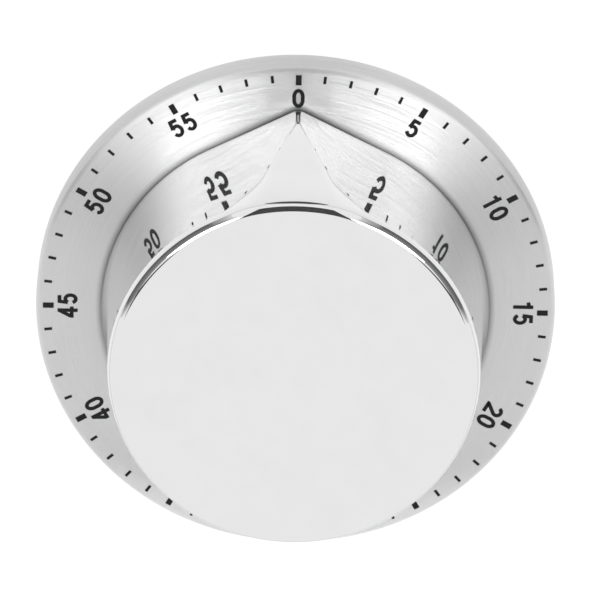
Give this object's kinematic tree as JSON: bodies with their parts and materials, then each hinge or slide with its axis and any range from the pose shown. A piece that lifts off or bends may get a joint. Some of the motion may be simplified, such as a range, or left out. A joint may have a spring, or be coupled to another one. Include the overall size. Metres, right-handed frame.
{
  "type": "mechanical kitchen timer",
  "caption": "Round steel case with a minute dial, a tall beaked winding knob and a clockwork movement that strikes a bell.",
  "frame": {"origin": "middle of the foot ring's lower face, on the knob's axis", "axes": "+Z out of the dial along the knob's axis, +Y towards the zero mark, +X towards the 15 minute mark"},
  "size_m": [0.075, 0.075, 0.0309],
  "materials": {
    "brushed_steel": "brushed round the axis",
    "chrome": "mirror",
    "steel": "turned and ground",
    "bell_metal": "polished",
    "brass": "satin",
    "blued_steel": "blued",
    "black_plastic": "fine texture",
    "dial_ink": "satin print",
    "rubber": "matt",
    "ferrite": "matt grey"
  },
  "bodies": {
    "case": {"dial_pan": "brushed_steel", "rear_housing": "black_plastic", "foot_ring": "rubber", "magnet_1": "ferrite", "magnet_2": "ferrite", "magnet_3": "ferrite", "case_screw_1": "steel", "case_screw_2": "steel", "case_screw_3": "steel", "lower_plate": "brass", "upper_plate": "brass", "pillar_1": "brass", "pillar_2": "brass", "pillar_3": "brass", "plate_screw_1": "steel", "plate_screw_2": "steel", "plate_screw_3": "steel", "stop_pin": "steel", "spring_barrel": "steel", "barrel_screw_1": "steel", "barrel_screw_2": "steel", "mainspring": "blued_steel", "bell": "bell_metal", "bell_screw": "steel", "hairspring_stud": "steel"},
    "knob": {"knob_shell": "chrome", "hub_socket": "steel", "knob_hub": "black_plastic", "main_arbor": "steel", "cam_disc": "steel", "stop_arm": "steel", "main_wheel": "brass", "ratchet_wheel": "steel", "click": "steel", "click_pin": "steel", "click_spring": "blued_steel"},
    "second": {"second_pinion": "steel", "second_wheel": "brass"},
    "third": {"third_pinion": "steel", "third_wheel": "brass"},
    "escape": {"escape_pinion": "steel", "escape_wheel": "brass"},
    "strike": {"strike_pinion": "steel", "strike_wheel": "brass"},
    "pallet": {"pallet_staff": "steel", "pallet_lever": "steel"},
    "balance": {"balance_staff": "steel", "balance_wheel": "brass", "balance_roller": "steel", "hairspring": "blued_steel"},
    "hammer": {"hammer_staff": "steel", "hammer_arm": "steel", "hammer_head": "brass", "strike_tail": "steel", "cam_follower": "steel"}
  },
  "joints": [
    {"name": "knob_turn", "type": "hinge", "parent": "case", "child": "knob", "pos_m": [0, 0, 0], "axis": [0, 0, -1], "range_deg": [0, 352], "deforming": ["mainspring"]},
    {"name": "second_turn", "type": "hinge", "parent": "case", "child": "second", "pos_m": [0.01113, 0, 0], "axis": [0, 0, -1], "range_deg": [-2112, 0]},
    {"name": "third_turn", "type": "hinge", "parent": "case", "child": "third", "pos_m": [0.01019, 0.00898, 0], "axis": [0, 0, -1], "range_deg": [0, 12672]},
    {"name": "escape_turn", "type": "hinge", "parent": "case", "child": "escape", "pos_m": [0.00499, 0.01475, 0], "axis": [0, 0, -1], "range_deg": [-76032, 0]},
    {"name": "strike_turn", "type": "hinge", "parent": "case", "child": "strike", "pos_m": [-0.00381, -0.01046, 0], "axis": [0, 0, -1], "range_deg": [-2112, 0]},
    {"name": "pallet_rock", "type": "hinge", "parent": "case", "child": "pallet", "pos_m": [-0.00171, 0.01594, 0], "axis": [0, 0, -1], "range_deg": [-3, 3]},
    {"name": "balance_swing", "type": "hinge", "parent": "case", "child": "balance", "pos_m": [-0.00892, 0.01143, 0], "axis": [0, 0, -1], "range_deg": [-110, 110], "stiffness_Nm_per_rad": 0.00000074, "deforming": ["hairspring"]},
    {"name": "hammer_swing", "type": "hinge", "parent": "case", "child": "hammer", "pos_m": [-0.01456, -0.01297, 0], "axis": [0, 0, -1], "range_deg": [-6, 0]}
  ],
  "couplings": [
    {"joint": "second_turn", "follows": "knob_turn", "ratio": -6},
    {"joint": "third_turn", "follows": "knob_turn", "ratio": 36},
    {"joint": "escape_turn", "follows": "knob_turn", "ratio": -216},
    {"joint": "strike_turn", "follows": "knob_turn", "ratio": -6}
  ]
}
